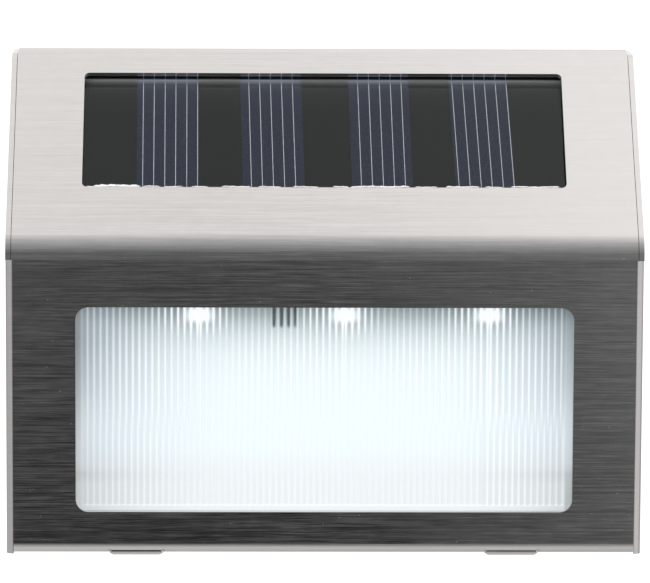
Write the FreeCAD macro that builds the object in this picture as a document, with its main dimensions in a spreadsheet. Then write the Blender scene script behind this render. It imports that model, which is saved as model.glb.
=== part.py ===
"""Solar fence light: a folded steel cover over a moulded lamp body that hangs on a wall plate.

Frame: X to the viewer's right, Y towards the wall, Z up. The wall is the plane Y = 0, the upright
face looks to -Y, and the origin is the middle of the wall plate's rear face. Millimetres throughout.
"""
import FreeCAD, Part
import math
import os
import re
import Sketcher

Vector = FreeCAD.Vector

# Driving dimensions.
SIZES = {
    # steel cover
    "cover_width": 120,
    "cover_depth": 45,
    "top_depth": 13,
    "face_height": 58.65,
    "slope_rise": 35.1,
    "knee_level": 11.5,
    "sheet_gauge": 1,
    "bend_inside": 0.35,
    "lip_bend_inside": 1.1,
    "knee_outside": 7,
    "slope_play": 0.1,
    "return_flange": 3.5,
    "flap_rear_gap": 1,
    "flap_drop": 1.5,
    "flap_corner": 2.5,
    "lip_rear_gap": 10,
    # lanced bridges in the bottom lip
    "bridge_offset": 35.5,
    "bridge_width": 10.1,
    "bridge_length": 6,
    "bridge_drop": 0.5,
    "bridge_ramp": 0.75,
    "bridge_setback": 0.65,
    "bridge_slit": 0.2,
    "bridge_round": 0.9,
    "relief_radius": 0.35,
    # lens window and lens
    "lens_side": 13.1,
    "lens_drop": 11.65,
    "lens_sill": 8,
    "lens_corner": 2.4,
    "lens_play": 0.15,
    "lens_flange": 1.2,
    "lens_lap": 3.4,
    "lens_rise": 0.6,
    "flute_pitch": 1.185,
    "flute_side": 1.27,
    "flute_bulge": 0.35,
    "flute_land": 0.05,
    "flute_foot": 1,
    # solar window and module
    "solar_side": 14.1,
    "solar_start": 13.65,
    "solar_head": 6.7,
    "solar_corner": 1,
    "module_lap": 3,
    "glass_gauge": 1,
    "cell_gauge": 0.25,
    "backboard_gauge": 1.6,
    "cell_width": 11.6,
    "cell_pitch": 19.95,
    "cell_count": 4,
    "cell_margin": 1.2,
    # moulded housing and rear panel
    "housing_wall": 2,
    "housing_play": 0.2,
    "top_land": 1.2,
    "snap_width": 7.6,
    "snap_height": 0.4,
    "panel_gauge": 2.4,
    "recess_depth": 7,
    "rim_wall": 1.8,
    "rim_rear_gap": 1.5,
    # light chamber
    "chamber_gap": 0.7,
    "chamber_side": 5.2,
    "chamber_head": 2.1,
    "chamber_foot": 3.6,
    "chamber_kink": 4.6,
    "reflector_gauge": 1.2,
    # board, LEDs and driver
    "led_board_gauge": 1.6,
    "led_board_side": 5.3,
    "led_board_inset": 0.2,
    "led_pitch": 28,
    "led_offset": 3.9,
    "led_inset": 7,
    "led_radius": 2.5,
    "led_rim_radius": 2.9,
    "led_rim_height": 0.9,
    "led_length": 4.8,
    "led_play": 0.2,
    "driver_offset": -7.5,
    "driver_width": 5.2,
    "driver_height": 4,
    "driver_depth": 1.6,
    "driver_inset": 4.4,
    "driver_stand": 2.9,
    "leg_pitch": 1.27,
    "leg_width": 0.45,
    "choke_radius": 3,
    "choke_height": 5,
    "choke_offset": -20,
    "choke_neck": 1.6,
    # battery and its tub
    "battery_length": 50.5,
    "battery_radius": 7.25,
    "battery_play": 0.35,
    "battery_lift": 13.5,
    "nub_radius": 2.7,
    "nub_length": 1.2,
    "tub_wall": 1.2,
    "contact_space": 2.2,
    "contact_gauge": 0.3,
    "contact_play": 0.1,
    "contact_width": 9,
    # battery door
    "door_gauge": 1.4,
    "door_play": 0.15,
    "door_lap": 1,
    "tongue_gauge": 0.5,
    "tongue_reach": 1,
    "grip_width": 14,
    "grip_depth": 0.6,
    # slide switch
    "switch_side": 16.8,
    "switch_lift": 13,
    "switch_width": 11,
    "switch_height": 5.6,
    "switch_depth": 4.6,
    "knob_width": 2.4,
    "knob_height": 2.2,
    "knob_proud": 1.4,
    "knob_root": 2.6,
    "knob_travel": 2,
    "knob_play": 0.2,
    # screws of the rear panel
    "boss_bite": 0.3,
    "boss_low": 8,
    "boss_head": 16.4,
    "boss_radius": 3.2,
    "boss_length": 9,
    "screw_radius": 1.3,
    "screw_length": 8,
    "screw_head_radius": 2.6,
    "screw_head_height": 1.4,
    "screw_play": 0.05,
    # wall plate and the hooks that ride on it
    "plate_half": 33,
    "plate_half_height": 20,
    "plate_gauge": 1.2,
    "plate_bend": 0.6,
    "rail_stand": 5.2,
    "rail_reach": 5,
    "mount_spacing": 40,
    "mount_hole_radius": 2.25,
    "hook_play": 0.3,
    "hook_grip": 2.8,
    "hook_wall": 2.2,
    # inner wires
    "wire_radius": 0.6,
    "wire_hole_radius": 3,
    "wire_spread": 1.2,
    "solar_wire_offset": 20,
    "solar_wire_up": 22,
    "board_wire_inset": 11.5,
}

# Lengths and places that follow from the driving dimensions.
DERIVED = {
    "half_width": "cover_width / 2",
    "front": "-cover_depth",
    "lip_level": "knee_level - face_height",
    "bend_outside": "bend_inside + sheet_gauge",
    "lip_bend_outside": "lip_bend_inside + sheet_gauge",
    "flat_half": "half_width - bend_outside",
    "knee_inside": "knee_outside - sheet_gauge",
    "slope_run": "cover_depth - top_depth",
    "slope_length": "sqrt(slope_run^2 + slope_rise^2)",
    "slope_sin": "slope_run / slope_length",
    "slope_cos": "slope_rise / slope_length",
    "knee_tan": "slope_sin / (1 + slope_cos)",
    "cover_top": "knee_level + slope_rise",
    "flap_top": "cover_top - flap_drop",
    "bridge_half": "bridge_width / 2",
    "bridge_flat": "bridge_half - bridge_ramp",
    "bridge_front": "front + bridge_setback + bridge_slit",
    "bridge_rear": "bridge_front + bridge_slit + bridge_length",
    "lens_half": "half_width - lens_side",
    "lens_top": "knee_level - lens_drop",
    "lens_foot": "lip_level + lens_sill",
    "lens_seat": "front + sheet_gauge",
    "lens_back": "lens_seat + lens_flange",
    "flute_width": "flute_pitch - flute_land",
    "flute_count": "floor(2 * (lens_half - flute_side) / flute_pitch)",
    "solar_half": "half_width - solar_side",
    "solar_end": "slope_length - solar_head",
    "module_half": "solar_half + module_lap",
    "module_start": "solar_start - module_lap",
    "module_end": "solar_end + module_lap",
    "glass_floor": "sheet_gauge + glass_gauge",
    "cell_floor": "glass_floor + cell_gauge",
    "module_floor": "cell_floor + backboard_gauge",
    "housing_half": "half_width - sheet_gauge - housing_play",
    "housing_foot": "lip_level + sheet_gauge + housing_play",
    "panel_rear": "-recess_depth",
    "panel_front": "panel_rear - panel_gauge",
    "land_front": "panel_front - top_land",
    "cavity_floor": "module_floor + housing_wall",
    "housing_top": "knee_level - module_floor * slope_sin"
                   " + (land_front - front - module_floor * slope_cos) * slope_cos / slope_sin",
    "cavity_top": "knee_level - cavity_floor * slope_sin"
                  " + (land_front - front - cavity_floor * slope_cos) * slope_cos / slope_sin",
    "chamber_half": "lens_half + chamber_side",
    "reflector_half": "chamber_half + reflector_gauge",
    "reflector_front": "lens_back + lens_play",
    "reflector_top": "lens_top + chamber_head",
    "reflector_foot": "lens_foot - chamber_foot",
    "reflector_rear": "tub_front - tub_wall - chamber_gap",
    "kink_level": "lens_foot + chamber_kink",
    "floor_pitch": "(kink_level - reflector_foot) / (reflector_rear - reflector_front)",
    "floor_lift": "reflector_gauge * sqrt(1 + floor_pitch^2)",
    "board_top": "reflector_top + led_board_gauge",
    "led_board_half": "reflector_half - led_board_side",
    "board_front": "lens_back + housing_wall + led_board_inset",
    "led_line": "lens_back + led_inset",
    "driver_line": "lens_back + driver_inset",
    "driver_top": "reflector_top - driver_stand",
    "battery_line": "panel_front - battery_play - battery_radius",
    "battery_level": "lip_level + battery_lift",
    "tub_half": "battery_length / 2 + contact_space",
    "tub_reach": "battery_radius + battery_play",
    "tub_front": "battery_line - tub_reach",
    "door_half": "tub_half + tub_wall + door_lap",
    "door_top": "battery_level + tub_reach + tub_wall",
    "door_front": "panel_rear - door_gauge",
    "tongue_rear": "door_front + tongue_gauge",
    "switch_offset": "housing_half - switch_side",
    "switch_level": "lip_level + switch_lift",
    "knob_room": "knob_width / 2 + knob_travel / 2 + knob_play",
    "boss_offset": "housing_half - housing_wall - boss_radius + boss_bite",
    "boss_floor": "lip_level + boss_low",
    "boss_ceiling": "housing_top - boss_head",
    "rail_rear": "-rail_stand + plate_gauge",
    "rail_half": "plate_half + rail_reach",
    "hook_side": "rail_half + hook_play",
    "hook_front": "rail_rear + hook_play",
    "hook_top": "plate_half_height + hook_play",
}

doc = FreeCAD.newDocument("SolarFenceLight")
sheet = doc.addObject("Spreadsheet::Sheet", "Sizes")
for row, (alias, size) in enumerate(SIZES.items(), start=1):
    sheet.set(f"A{row}", alias)
    sheet.set(f"B{row}", str(size))
    sheet.setAlias(f"B{row}", alias)
doc.recompute()

DERIVED_WORD = re.compile(r"\b(" + "|".join(DERIVED) + r")\b")
SIZE_WORD = re.compile(r"\b(" + "|".join(SIZES) + r")\b")


def bound(text):
    """The expression for the sheet: derived words written out, sizes as cells of the sheet."""
    while DERIVED_WORD.search(text):
        text = DERIVED_WORD.sub(lambda word: f"({DERIVED[word.group(1)]})", text)
    return SIZE_WORD.sub(r"Sizes.\1", text)


def value(text):
    """The number that an expression has now."""
    result = sheet.evalExpression(bound(text))
    return float(getattr(result, "Value", result))


# ---- sketch planes: XY, XZ and YZ, and the outside of the slope ----------------------------------

PLANE_ROLE = {"XY": "XY_Plane", "XZ": "XZ_Plane", "YZ": "YZ_Plane", "slope": "XZ_Plane"}
PLANE_TURN = {
    "XY": FreeCAD.Rotation(),
    "XZ": FreeCAD.Rotation(Vector(1, 0, 0), 90),
    "YZ": FreeCAD.Rotation(Vector(1, 1, 1), 120),
}
# An XZ sketch looks to -Y, so a level in Y counts backwards along its normal.
PLANE_SIGN = {"XY": 1, "XZ": -1, "YZ": 1, "slope": 1}


def slope_turn():
    """Degrees by which the slope leans back from the upright."""
    return math.degrees(math.atan2(value("slope_run"), value("slope_rise")))


def plane_placement(plane):
    """Where the plane lies in the part's frame."""
    if plane == "slope":
        turn = FreeCAD.Rotation(Vector(1, 0, 0), 90 - slope_turn())
        return FreeCAD.Placement(Vector(0, value("front"), value("knee_level")), turn)
    return FreeCAD.Placement(Vector(0, 0, 0), PLANE_TURN[plane])


def new_sketch(body, name, plane, level="0", shift=("0", "0")):
    """An empty sketch on one of the body's own planes, at a level along the plane's axis."""
    sketch = body.newObject("Sketcher::SketchObject", name)
    origin_plane = next(o for o in body.Origin.OriginFeatures if o.Role == PLANE_ROLE[plane])
    sketch.AttachmentSupport = [(origin_plane, "")]
    sketch.MapMode = "FlatFace"
    if plane == "slope":
        sketch.AttachmentOffset = FreeCAD.Placement(Vector(0, 0, 0), FreeCAD.Rotation(Vector(-1, 0, 0), 1))
        sketch.setExpression("AttachmentOffset.Rotation.Angle", bound("atan(slope_run / slope_rise)"))
        sketch.setExpression("AttachmentOffset.Base.y", bound(f"knee_level + ({level}) * slope_sin"))
        sketch.setExpression("AttachmentOffset.Base.z", bound(f"cover_depth + ({level}) * slope_cos"))
        return sketch
    sketch.setExpression("AttachmentOffset.Base.x", bound(shift[0]))
    sketch.setExpression("AttachmentOffset.Base.y", bound(shift[1]))
    sketch.setExpression("AttachmentOffset.Base.z", bound(f"{PLANE_SIGN[plane]} * ({level})"))
    return sketch


def hold(sketch, kind, *args):
    """A driving distance whose last argument is its expression."""
    index = sketch.addConstraint(Sketcher.Constraint(kind, *args[:-1], value(args[-1])))
    sketch.setExpression(f"Constraints[{index}]", bound(args[-1]))


def hold_point(sketch, edge, end, across, up):
    """A sketch point held by its two distances from the sketch's origin."""
    hold(sketch, "DistanceX", -1, 1, edge, end, across)
    hold(sketch, "DistanceY", -1, 1, edge, end, up)


def add_outline(sketch, points, arcs=None):
    """A closed outline through the points, straight but for the arcs.

    arcs gives, for the number of the point where an arc starts, the point that it bulges towards
    and its radius.
    """
    arcs = arcs or {}
    spots = [Vector(value(across), value(up), 0) for across, up in points]
    count = len(points)
    ends = []
    for i in range(count):
        start, finish = spots[i], spots[(i + 1) % count]
        if i in arcs:
            bulge, radius = arcs[i]
            middle = Vector(value(bulge[0]), value(bulge[1]), 0)
            edge = sketch.addGeometry(Part.Arc(start, middle, finish), False)
            near = 1 if sketch.getPoint(edge, 1).distanceToPoint(start) < 1e-6 else 2
            ends.append((edge, near, 3 - near))
        else:
            edge = sketch.addGeometry(Part.LineSegment(start, finish), False)
            ends.append((edge, 1, 2))
    for i, (across, up) in enumerate(points):
        edge, near, far = ends[i]
        following = ends[(i + 1) % count]
        sketch.addConstraint(Sketcher.Constraint("Coincident", edge, far, following[0], following[1]))
        hold_point(sketch, edge, near, across, up)
        if i in arcs:
            hold(sketch, "Radius", edge, arcs[i][1])


def add_circle(sketch, across, up, radius):
    """A circle held by its centre and radius."""
    centre = Vector(value(across), value(up), 0)
    edge = sketch.addGeometry(Part.Circle(centre, Vector(0, 0, 1), value(radius)), False)
    hold_point(sketch, edge, 3, across, up)
    hold(sketch, "Radius", edge, radius)


def box_outline(left, right, low, high):
    """The corners of an upright rectangle."""
    return [(left, low), (right, low), (right, high), (left, high)]


# ---- features ------------------------------------------------------------------------------------

def new_body(name, several=False):
    body = doc.addObject("PartDesign::Body", name)
    body.Label = name
    body.AllowCompound = several
    return body


def grow(body, name, sketch, length, reverse=False):
    pad = body.newObject("PartDesign::Pad", name)
    pad.Profile = sketch
    pad.Reversed = reverse
    pad.setExpression("Length", bound(length))
    doc.recompute()
    return pad


def pad_outline(body, name, plane, low, high, points, arcs=None):
    """Adds the outline's prism between two levels of the plane's axis."""
    sketch = new_sketch(body, name + "_sketch", plane, low if PLANE_SIGN[plane] > 0 else high)
    add_outline(sketch, points, arcs)
    return grow(body, name, sketch, f"({high}) - ({low})")


def pad_circles(body, name, plane, low, high, circles):
    """Adds round posts between two levels of the plane's axis."""
    sketch = new_sketch(body, name + "_sketch", plane, low if PLANE_SIGN[plane] > 0 else high)
    for circle in circles:
        add_circle(sketch, *circle)
    return grow(body, name, sketch, f"({high}) - ({low})")


def sink(body, name, sketch, length):
    """Cuts the sketch's prism against its normal, and makes sure that it took something away."""
    before = body.Shape.Volume
    pocket = body.newObject("PartDesign::Pocket", name)
    pocket.Profile = sketch
    pocket.setExpression("Length", bound(length))
    doc.recompute()
    if not pocket.Shape.Volume < before - 1e-3:
        raise ValueError(f"{name} cuts nothing from {body.Label}")
    return pocket


def cut_outline(body, name, plane, low, high, points):
    """Cuts the outline's prism between two levels of the plane's axis."""
    sketch = new_sketch(body, name + "_sketch", plane, high if PLANE_SIGN[plane] > 0 else low)
    add_outline(sketch, points)
    return sink(body, name, sketch, f"({high}) - ({low})")


def cut_circles(body, name, plane, low, high, circles):
    """Cuts round holes between two levels of the plane's axis."""
    sketch = new_sketch(body, name + "_sketch", plane, high if PLANE_SIGN[plane] > 0 else low)
    for circle in circles:
        add_circle(sketch, *circle)
    return sink(body, name, sketch, f"({high}) - ({low})")


def straight_edges(shape, plane, points):
    """Names of the straight edges square to the plane that stand on the given points of it."""
    into_plane = plane_placement(plane).inverse()
    spots = [(value(across), value(up)) for across, up in points]
    names = []
    for number, edge in enumerate(shape.Edges, start=1):
        if edge.Curve.TypeId != "Part::GeomLine" or len(edge.Vertexes) != 2:
            continue
        ends = [into_plane.multVec(vertex.Point) for vertex in edge.Vertexes]
        if math.hypot(ends[0].x - ends[1].x, ends[0].y - ends[1].y) > 1e-4:
            continue
        if any(math.hypot(ends[0].x - across, ends[0].y - up) < 1e-3 for across, up in spots):
            names.append(f"Edge{number}")
    return names


def round_edges(body, name, radius, plane, points):
    """Rounds the edges square to the plane at the given points of it."""
    base = body.Tip
    fillet = body.newObject("PartDesign::Fillet", name)
    fillet.Base = (base, straight_edges(base.Shape, plane, points))
    fillet.setExpression("Radius", bound(radius))
    doc.recompute()
    return fillet


def turn_outline(body, name, plane, level, shift, points):
    """Turns an outline, drawn on one side of the sketch's horizontal axis, round that axis."""
    sketch = new_sketch(body, name + "_sketch", plane, level, shift)
    add_outline(sketch, points)
    turned = body.newObject("PartDesign::Revolution", name)
    turned.Profile = sketch
    turned.ReferenceAxis = (sketch, ["H_Axis"])
    turned.Angle = 360
    doc.recompute()
    return turned


def turn_upright(body, name, level, shift, points):
    """Turns an outline drawn in XZ, right of the sketch's upright axis, round that axis."""
    sketch = new_sketch(body, name + "_sketch", "XZ", level, shift)
    add_outline(sketch, points)
    turned = body.newObject("PartDesign::Revolution", name)
    turned.Profile = sketch
    turned.ReferenceAxis = (sketch, ["V_Axis"])
    turned.Angle = 360
    doc.recompute()
    return turned


def mirror_sides(body, name, features):
    """Repeats features on the other side of the plane X = 0."""
    mirrored = body.newObject("PartDesign::Mirrored", name)
    mirrored.Originals = features
    side = next(o for o in body.Origin.OriginFeatures if o.Role == "YZ_Plane")
    mirrored.MirrorPlane = (side, [""])
    body.Tip = mirrored
    doc.recompute()
    return mirrored


def repeat_along_x(body, name, features, span, count):
    """Repeats features along +X over a span."""
    pattern = body.newObject("PartDesign::LinearPattern", name)
    pattern.Originals = features
    axis = next(o for o in body.Origin.OriginFeatures if o.Role == "X_Axis")
    pattern.Direction = (axis, [""])
    pattern.Mode = "Extent" if "Mode" in pattern.PropertiesList else 0
    pattern.setExpression("Length", bound(span))
    pattern.setExpression("Occurrences", bound(count))
    body.Tip = pattern
    doc.recompute()
    return pattern


def tube(points, radius):
    """A wire of round section along straight runs joined by tangent arcs."""
    spots = [Vector(*(value(text) for text in point)) for point in points]
    edges = []
    start = spots[0]
    for before, corner, after in zip(spots, spots[1:], spots[2:]):
        back = (before - corner).normalize()
        ahead = (after - corner).normalize()
        shorter = min(before.distanceToPoint(corner), corner.distanceToPoint(after))
        trim = 0.45 * shorter
        enter = corner + back * trim
        leave = corner + ahead * trim
        turn = math.pi - back.getAngle(ahead)
        bend = trim / math.tan(turn / 2)
        inward = (back + ahead).normalize()
        middle = corner + inward * (math.hypot(bend, trim) - bend)
        edges.append(Part.LineSegment(start, enter).toShape())
        edges.append(Part.Arc(enter, middle, leave).toShape())
        start = leave
    edges.append(Part.LineSegment(start, spots[-1]).toShape())
    path = Part.Wire(edges)
    heading = (spots[1] - spots[0]).normalize()
    section = Part.Wire(Part.makeCircle(radius, spots[0], heading))
    return path.makePipeShell([section], True, False)


def wires(name, routes):
    """A node of separate wires."""
    node = doc.addObject("Part::Feature", name)
    node.Label = name
    node.Shape = Part.makeCompound([tube(route, value("wire_radius")) for route in routes])
    node.Placement = FreeCAD.Placement()
    return node


# ---- steel cover ---------------------------------------------------------------------------------

def steel_cover():
    """One sheet: lip, upright face, knee, slope and return flange, with a flap on each side."""
    body = new_body("steel_cover")
    lip_rear = "-lip_rear_gap"
    flange_end = ("-top_depth + return_flange * slope_cos", "cover_top - return_flange * slope_sin")
    flange_under = (
        "-top_depth + return_flange * slope_cos - sheet_gauge * slope_sin",
        "cover_top - return_flange * slope_sin - sheet_gauge * slope_cos",
    )
    flange_root = (
        "-top_depth + sheet_gauge * (slope_cos - slope_sin)",
        "cover_top - sheet_gauge * (slope_sin + slope_cos)",
    )
    knee_root = ("front + sheet_gauge", "knee_level - sheet_gauge * knee_tan")
    lip_root = ("front + sheet_gauge", "lip_level + sheet_gauge")
    section = [
        (lip_rear, "lip_level"),
        ("front", "lip_level"),
        ("front", "knee_level"),
        ("-top_depth", "cover_top"),
        flange_end,
        flange_under,
        flange_root,
        knee_root,
        lip_root,
        (lip_rear, "lip_level + sheet_gauge"),
    ]
    pad_outline(body, "strip", "YZ", "-(flat_half)", "flat_half", section)
    round_edges(body, "knee_outer", "knee_outside", "YZ", [("front", "knee_level")])
    round_edges(body, "knee_inner", "knee_inside", "YZ", [knee_root])
    round_edges(body, "lip_outer", "lip_bend_outside", "YZ", [("front", "lip_level")])
    round_edges(body, "lip_inner", "lip_bend_inside", "YZ", [lip_root])
    round_edges(body, "top_outer", "bend_outside", "YZ", [("-top_depth", "cover_top")])
    round_edges(body, "top_inner", "bend_inside", "YZ", [flange_root])

    # The side bend runs from the lip to the knee, and the flap beyond it stands free of the slope.
    knee_tangent = "knee_level - knee_outside * knee_tan"
    ring = 0.5 ** 0.5
    bend_line = "front + bend_outside"
    bend = pad_outline(body, "side_bend", "XY", "lip_level", knee_tangent, [
        ("flat_half", "front"),
        ("half_width", bend_line),
        ("half_width - sheet_gauge", bend_line),
        ("flat_half", "front + sheet_gauge"),
    ], {
        0: ((f"flat_half + bend_outside * {ring}", f"{bend_line} - bend_outside * {ring}"), "bend_outside"),
        2: ((f"flat_half + bend_inside * {ring}", f"{bend_line} - bend_inside * {ring}"), "bend_inside"),
    })
    flap_front = "front + (flap_top - knee_level) * slope_sin / slope_cos"
    flap_rear = "-flap_rear_gap"
    knee_centre = ("front + knee_outside", knee_tangent)
    knee_middle = (f"{knee_centre[0]} - knee_outside * sqrt((1 + slope_cos) / 2)",
                   f"{knee_centre[1]} + knee_outside * sqrt((1 - slope_cos) / 2)")
    flap = pad_outline(body, "flap", "YZ", "half_width - sheet_gauge", "half_width", [
        (bend_line, "lip_level"),
        (flap_rear, "lip_level"),
        (flap_rear, "flap_top"),
        (flap_front, "flap_top"),
        (f"{knee_centre[0]} - knee_outside * slope_cos", f"{knee_centre[1]} + knee_outside * slope_sin"),
        ("front", knee_tangent),
        (bend_line, knee_tangent),
    ], {4: (knee_middle, "knee_outside")})
    # Knee and slope run out to just short of the flap.
    wing_foot = "knee_outside * knee_tan"
    wing_head = "slope_length - bend_outside"
    inner_middle = (f"{knee_centre[0]} - knee_inside * sqrt((1 + slope_cos) / 2)",
                    f"{knee_centre[1]} + knee_inside * sqrt((1 - slope_cos) / 2)")
    wing = pad_outline(body, "slope_wing", "YZ", "flat_half", "half_width - sheet_gauge - slope_play", [
        ("front", knee_tangent),
        under_slope(wing_foot, "0"),
        under_slope(wing_head, "0"),
        under_slope(wing_head, "sheet_gauge"),
        under_slope(wing_foot, "sheet_gauge"),
        ("front + sheet_gauge", knee_tangent),
    ], {0: (knee_middle, "knee_outside"), 4: (inner_middle, "knee_inside")})
    mirror_sides(body, "flaps", [bend, flap, wing])
    flap_corners = [(flap_rear, "lip_level"), (flap_rear, "flap_top"), (flap_front, "flap_top")]
    round_edges(body, "flap_corners", "flap_corner", "YZ", flap_corners)

    lens_corners = box_outline("-(lens_half)", "lens_half", "lens_foot", "lens_top")
    cut_outline(body, "lens_window", "XZ", "front - 1", "front + sheet_gauge + 1", lens_corners)
    round_edges(body, "lens_corners", "lens_corner", "XZ", lens_corners)
    solar_corners = box_outline("-(solar_half)", "solar_half", "solar_start", "solar_end")
    cut_outline(body, "solar_window", "slope", "-sheet_gauge - 1", "1", solar_corners)
    round_edges(body, "solar_corners", "solar_corner", "slope", solar_corners)
    lanced_bridges(body)
    return body


def under_slope(along, depth):
    """A point of the YZ plane, this far up the slope from the knee and this deep under its outside."""
    return (f"front + ({along}) * slope_sin + ({depth}) * slope_cos",
            f"knee_level + ({along}) * slope_cos - ({depth}) * slope_sin")


def lanced_bridges(body):
    """Two strips of the lip, slit free front and rear and pushed down between their relief holes."""
    left = "bridge_offset - bridge_half"
    right = "bridge_offset + bridge_half"
    slot_front = "bridge_front - bridge_slit"
    slot_rear = "bridge_rear + bridge_slit"
    sides = ("", "-")
    sketch = new_sketch(body, "lance_sketch", "XY", "lip_level + sheet_gauge + bend_inside")
    for side in sides:
        ends = (left, right) if side == "" else (right, left)
        add_outline(sketch, box_outline(f"{side}({ends[0]})", f"{side}({ends[1]})", slot_front, slot_rear))
    sink(body, "lance", sketch, "sheet_gauge + bend_inside + 1")
    sketch = new_sketch(body, "bridge_sketch", "XZ", "bridge_rear")
    for side in sides:
        add_outline(sketch, [
            (f"{side}({left})", "lip_level"),
            (f"{side}({left} + bridge_ramp)", "lip_level - bridge_drop"),
            (f"{side}({right} - bridge_ramp)", "lip_level - bridge_drop"),
            (f"{side}({right})", "lip_level"),
            (f"{side}({right})", "lip_level + sheet_gauge"),
            (f"{side}({right} - bridge_ramp)", "lip_level + sheet_gauge - bridge_drop"),
            (f"{side}({left} + bridge_ramp)", "lip_level + sheet_gauge - bridge_drop"),
            (f"{side}({left})", "lip_level + sheet_gauge"),
        ])
    grow(body, "bridges", sketch, "bridge_rear - (bridge_front)")
    round_edges(body, "bridge_fronts", "bridge_round", "YZ", [("bridge_front", "lip_level - bridge_drop")])
    slit_line = "bridge_front - bridge_slit / 2"
    holes = []
    for side in sides:
        holes.append((f"{side}({left})", slit_line, "relief_radius"))
        holes.append((f"{side}({right})", slit_line, "relief_radius"))
    cut_circles(body, "relief_holes", "XY", "lip_level - 1", "lip_level + sheet_gauge + 1", holes)


# ---- solar module --------------------------------------------------------------------------------

def module_sheet(name, top, floor):
    """A plate behind the solar window, between two depths under the slope's outside."""
    body = new_body(name)
    corners = box_outline("-(module_half)", "module_half", "module_start", "module_end")
    pad_outline(body, name + "_plate", "slope", f"-({floor})", f"-({top})", corners)
    return body


def solar_cells():
    """Upright cell strips between the glass and the backboard."""
    body = new_body("solar_cells", several=True)
    first = "-cell_pitch * (cell_count - 1) / 2"
    low = "solar_start - cell_margin"
    high = "solar_end + cell_margin"
    corners = box_outline(f"{first} - cell_width / 2", f"{first} + cell_width / 2", low, high)
    strip = pad_outline(body, "cell", "slope", "-(cell_floor)", "-(glass_floor)", corners)
    repeat_along_x(body, "cells", [strip], "cell_pitch * (cell_count - 1)", "cell_count")
    return body


# ---- lens ----------------------------------------------------------------------------------------

def ribbed_lens():
    """A clear plate: flange behind the steel, field in the window, upright flutes on its back."""
    body = new_body("ribbed_lens")
    flange = box_outline("-(lens_half + lens_lap)", "lens_half + lens_lap",
                         "lens_foot - lens_lap", "lens_top + lens_lap")
    pad_outline(body, "flange", "XZ", "lens_seat", "lens_back", flange)
    round_edges(body, "flange_corners", "lens_corner", "XZ", flange)
    field = box_outline("-(lens_half - lens_play)", "lens_half - lens_play",
                        "lens_foot + lens_play", "lens_top - lens_play")
    pad_outline(body, "field", "XZ", "lens_seat - lens_rise", "lens_seat", field)
    round_edges(body, "field_corners", "lens_corner - lens_play", "XZ", field)

    first = "-flute_pitch * (flute_count - 1) / 2"
    low = "lens_foot + flute_foot"
    radius = "((flute_width / 2)^2 + flute_bulge^2) / (2 * flute_bulge)"
    flute = pad_outline(body, "flute", "XY", low, "lens_top + lens_play", [
        (f"{first} - flute_width / 2", "lens_back"),
        (f"{first} + flute_width / 2", "lens_back"),
    ], {0: ((first, "lens_back + flute_bulge"), radius)})
    repeat_along_x(body, "flutes", [flute], "flute_pitch * (flute_count - 1)", "flute_count")
    return body


# ---- moulded housing -----------------------------------------------------------------------------

def slope_level(depth, line):
    """Height at which a plane this deep under the slope's outside crosses a line in Y."""
    return (f"knee_level - ({depth}) * slope_sin"
            f" + ({line} - (front) - ({depth}) * slope_cos) * slope_cos / slope_sin")


def inner_housing():
    """Tub behind the steel, open at the rear, with the chamber's opening in its front wall."""
    body = new_body("inner_housing")
    pad_outline(body, "block", "YZ", "-(housing_half)", "housing_half", [
        ("lens_back", "housing_foot"),
        ("lens_back", slope_level("module_floor", "lens_back")),
        ("land_front", "housing_top"),
        ("panel_front", "housing_top"),
        ("panel_front", "housing_foot"),
    ])
    inner_front = "lens_back + housing_wall"
    floor = "housing_foot + housing_wall"
    cut_outline(body, "cavity", "YZ", "-(housing_half - housing_wall)", "housing_half - housing_wall", [
        (inner_front, floor),
        (inner_front, slope_level("cavity_floor", inner_front)),
        ("land_front", "cavity_top"),
        ("panel_front + 1", "cavity_top"),
        ("panel_front + 1", floor),
    ])
    opening_half = "reflector_half + housing_play"
    cut_outline(body, "chamber_opening", "XZ", "lens_back - 1", f"{inner_front} + 0.5", box_outline(
        f"-({opening_half})", opening_half, "reflector_foot - housing_play", "reflector_top + housing_play"))
    bosses = boss_circles("boss_radius")
    pad_circles(body, "bosses", "XZ", "panel_front - boss_length", "panel_front", bosses)
    screw_holes = boss_circles("screw_radius + screw_play")
    cut_circles(body, "boss_holes", "XZ", "panel_front - screw_length", "panel_front", screw_holes)
    snap_front = "bridge_front + bridge_slit + bend_outside"
    sketch = new_sketch(body, "snaps_sketch", "XY", "housing_foot")
    for side in ("", "-"):
        near, far = "bridge_offset - snap_width / 2", "bridge_offset + snap_width / 2"
        ends = (near, far) if side == "" else (far, near)
        add_outline(sketch, box_outline(f"{side}({ends[0]})", f"{side}({ends[1]})",
                                        snap_front, "bridge_rear - bend_outside"))
    grow(body, "snaps", sketch, "snap_height + housing_play", reverse=True)
    hole = [("solar_wire_offset", "solar_wire_up", "wire_hole_radius")]
    cut_circles(body, "wire_hole", "slope", "-(cavity_floor) - 1", "-(module_floor)", hole)
    return body


def boss_circles(radius):
    """Circles at the four screw places."""
    circles = []
    for side in ("", "-"):
        for level in ("boss_floor", "boss_ceiling"):
            circles.append((f"{side}(boss_offset)", level, radius))
    return circles


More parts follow.
